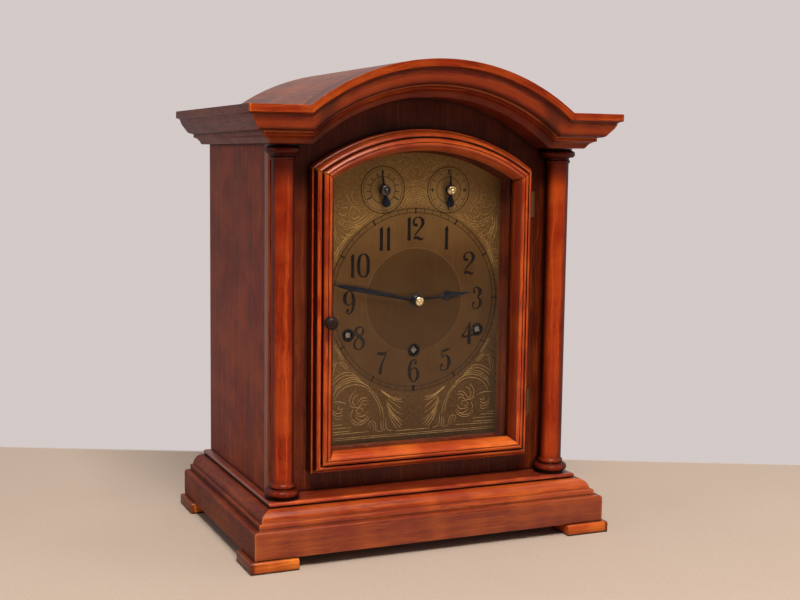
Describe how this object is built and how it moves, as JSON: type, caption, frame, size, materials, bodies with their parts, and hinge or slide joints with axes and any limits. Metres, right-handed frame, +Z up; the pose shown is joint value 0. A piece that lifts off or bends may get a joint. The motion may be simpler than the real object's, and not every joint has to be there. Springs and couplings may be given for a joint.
{
  "type": "architectural mantel clock",
  "caption": "Mahogany mantel clock with an arched hood, side columns, a glazed door that opens, an engraved brass dial, turning hands, a geared movement and a swinging pendulum.",
  "frame": {"origin": "on the floor under the middle of the whole clock", "axes": "+Z up, the dial faces -Y, +X to the right seen from the front"},
  "size_m": [0.36, 0.247, 0.44],
  "materials": {
    "mahogany": "french polished mahogany",
    "dark_wood": "stained, satin",
    "brass": "brushed and lacquered",
    "dial_brass": "engraved and bronzed",
    "steel": "brushed",
    "blued_steel": "blued, polished",
    "glass": "clear",
    "iron": "dark, satin",
    "ebonised_wood": "dark, polished"
  },
  "bodies": {
    "case": {"foot_front_left": "mahogany", "foot_front_right": "mahogany", "foot_rear_left": "mahogany", "foot_rear_right": "mahogany", "plinth_front": "mahogany", "plinth_left": "mahogany", "plinth_right": "mahogany", "base_board": "mahogany", "front_panel": "mahogany", "side_left": "mahogany", "side_right": "mahogany", "column_left": "mahogany", "column_right": "mahogany", "cornice_front": "mahogany", "cornice_left": "mahogany", "cornice_right": "mahogany", "roof_board": "mahogany", "seat_board": "dark_wood", "back_frame": "dark_wood", "dial_plate": "dial_brass", "movement_front_plate": "brass", "movement_back_plate": "brass", "suspension_cock": "brass", "chime_rods": "iron", "hammer_bracket": "steel", "hinge_low_fixed_leaf": "brass", "hinge_high_fixed_leaf": "brass"},
    "front_door": {"door_rail_bottom": "mahogany", "door_rail_top": "mahogany", "door_stile_left": "mahogany", "door_stile_right": "mahogany", "door_glass": "glass", "door_knob": "ebonised_wood", "door_catch": "brass", "hinge_low_door_leaf": "brass", "hinge_high_door_leaf": "brass"},
    "rear_door": {"back_door": "dark_wood"},
    "turn_button": {"back_button": "brass"},
    "minute_arbor": {"centre_wheel": "brass", "cannon_pinion": "steel", "minute_hand": "blued_steel", "hand_nut": "brass"},
    "hour_pipe": {"hour_wheel": "brass", "hour_hand": "blued_steel"},
    "motion_wheel": {"minute_wheel": "brass"},
    "going_drum": {"going_barrel": "brass"},
    "strike_drum": {"strike_barrel": "brass"},
    "chime_drum": {"chime_barrel": "brass"},
    "going_winder": {"going_arbor": "steel"},
    "strike_winder": {"strike_arbor": "steel"},
    "chime_winder": {"chime_arbor": "steel"},
    "third_arbor": {"third_wheel": "brass"},
    "escape_arbor": {"escape_wheel": "brass"},
    "pallets": {"anchor": "steel"},
    "pendulum": {"pendulum_rod": "steel", "pendulum_bob": "brass"},
    "quarter_hammer": {"hammer_quarter": "steel"},
    "hour_hammer": {"hammer_hour": "steel"},
    "left_pointer": {"sub_hand_left": "steel"},
    "right_pointer": {"sub_hand_right": "brass"}
  },
  "joints": [
    {"name": "front_door_hinge", "type": "hinge", "parent": "case", "child": "front_door", "pos_m": [0.111, -0.0765, 0.2], "axis": [0, 0, 1], "range_deg": [0, 110]},
    {"name": "rear_door_hinge", "type": "hinge", "parent": "case", "child": "rear_door", "pos_m": [0.09495, 0.11375, 0.2], "axis": [0, 0, -1], "range_deg": [0, 88]},
    {"name": "turn_button_pivot", "type": "hinge", "parent": "case", "child": "turn_button", "pos_m": [-0.1065, 0.1188, 0.21], "axis": [0, 1, 0], "range_deg": [-90, 90]},
    {"name": "minute_hand_turn", "type": "hinge", "parent": "case", "child": "minute_arbor", "pos_m": [0, -0.05, 0.2229], "axis": [0, 1, 0], "continuous": true},
    {"name": "hour_hand_turn", "type": "hinge", "parent": "case", "child": "hour_pipe", "pos_m": [0, -0.05, 0.2229], "axis": [0, 1, 0], "continuous": true},
    {"name": "minute_wheel_turn", "type": "hinge", "parent": "case", "child": "motion_wheel", "pos_m": [0.015, -0.05, 0.2229], "axis": [0, 1, 0], "continuous": true},
    {"name": "going_drum_turn", "type": "hinge", "parent": "case", "child": "going_drum", "pos_m": [0, -0.03, 0.1758], "axis": [0, 1, 0], "continuous": true},
    {"name": "third_wheel_turn", "type": "hinge", "parent": "case", "child": "third_arbor", "pos_m": [0.018, -0.03, 0.24838], "axis": [0, 1, 0], "continuous": true},
    {"name": "escape_wheel_turn", "type": "hinge", "parent": "case", "child": "escape_arbor", "pos_m": [0, -0.03, 0.26589], "axis": [0, 1, 0], "continuous": true},
    {"name": "strike_drum_turn", "type": "hinge", "parent": "case", "child": "strike_drum", "pos_m": [-0.0661, -0.03, 0.1927], "axis": [0, 1, 0], "continuous": true},
    {"name": "chime_drum_turn", "type": "hinge", "parent": "case", "child": "chime_drum", "pos_m": [0.0661, -0.03, 0.1927], "axis": [0, 1, 0], "continuous": true},
    {"name": "going_winding", "type": "hinge", "parent": "case", "child": "going_winder", "pos_m": [0, -0.03, 0.1758], "axis": [0, 1, 0], "continuous": true},
    {"name": "strike_winding", "type": "hinge", "parent": "case", "child": "strike_winder", "pos_m": [-0.0661, -0.03, 0.1927], "axis": [0, 1, 0], "continuous": true},
    {"name": "chime_winding", "type": "hinge", "parent": "case", "child": "chime_winder", "pos_m": [0.0661, -0.03, 0.1927], "axis": [0, 1, 0], "continuous": true},
    {"name": "pendulum_swing", "type": "hinge", "parent": "case", "child": "pendulum", "pos_m": [0, 0.011, 0.29289], "axis": [0, 1, 0], "range_deg": [-3, 3]},
    {"name": "anchor_swing", "type": "hinge", "parent": "case", "child": "pallets", "pos_m": [0, 0, 0.28539], "axis": [0, 1, 0], "range_deg": [-3.6, 3.6]},
    {"name": "quarter_hammer_lift", "type": "hinge", "parent": "case", "child": "quarter_hammer", "pos_m": [-0.052, 0.02, 0.108], "axis": [1, 0, 0], "range_deg": [0, 12]},
    {"name": "hour_hammer_lift", "type": "hinge", "parent": "case", "child": "hour_hammer", "pos_m": [-0.07, 0.02, 0.108], "axis": [1, 0, 0], "range_deg": [0, 12]},
    {"name": "left_pointer_turn", "type": "hinge", "parent": "case", "child": "left_pointer", "pos_m": [-0.0332, -0.055, 0.325], "axis": [0, 1, 0], "range_deg": [-60, 60]},
    {"name": "right_pointer_turn", "type": "hinge", "parent": "case", "child": "right_pointer", "pos_m": [0.0332, -0.055, 0.325], "axis": [0, 1, 0], "range_deg": [-60, 60]}
  ],
  "couplings": [
    {"joint": "hour_hand_turn", "follows": "minute_hand_turn", "ratio": 0.083333},
    {"joint": "minute_wheel_turn", "follows": "minute_hand_turn", "ratio": -0.33333},
    {"joint": "going_drum_turn", "follows": "minute_hand_turn", "ratio": -0.083333},
    {"joint": "third_wheel_turn", "follows": "minute_hand_turn", "ratio": -12},
    {"joint": "escape_wheel_turn", "follows": "minute_hand_turn", "ratio": 150},
    {"joint": "anchor_swing", "follows": "pendulum_swing", "ratio": 1.1667}
  ]
}
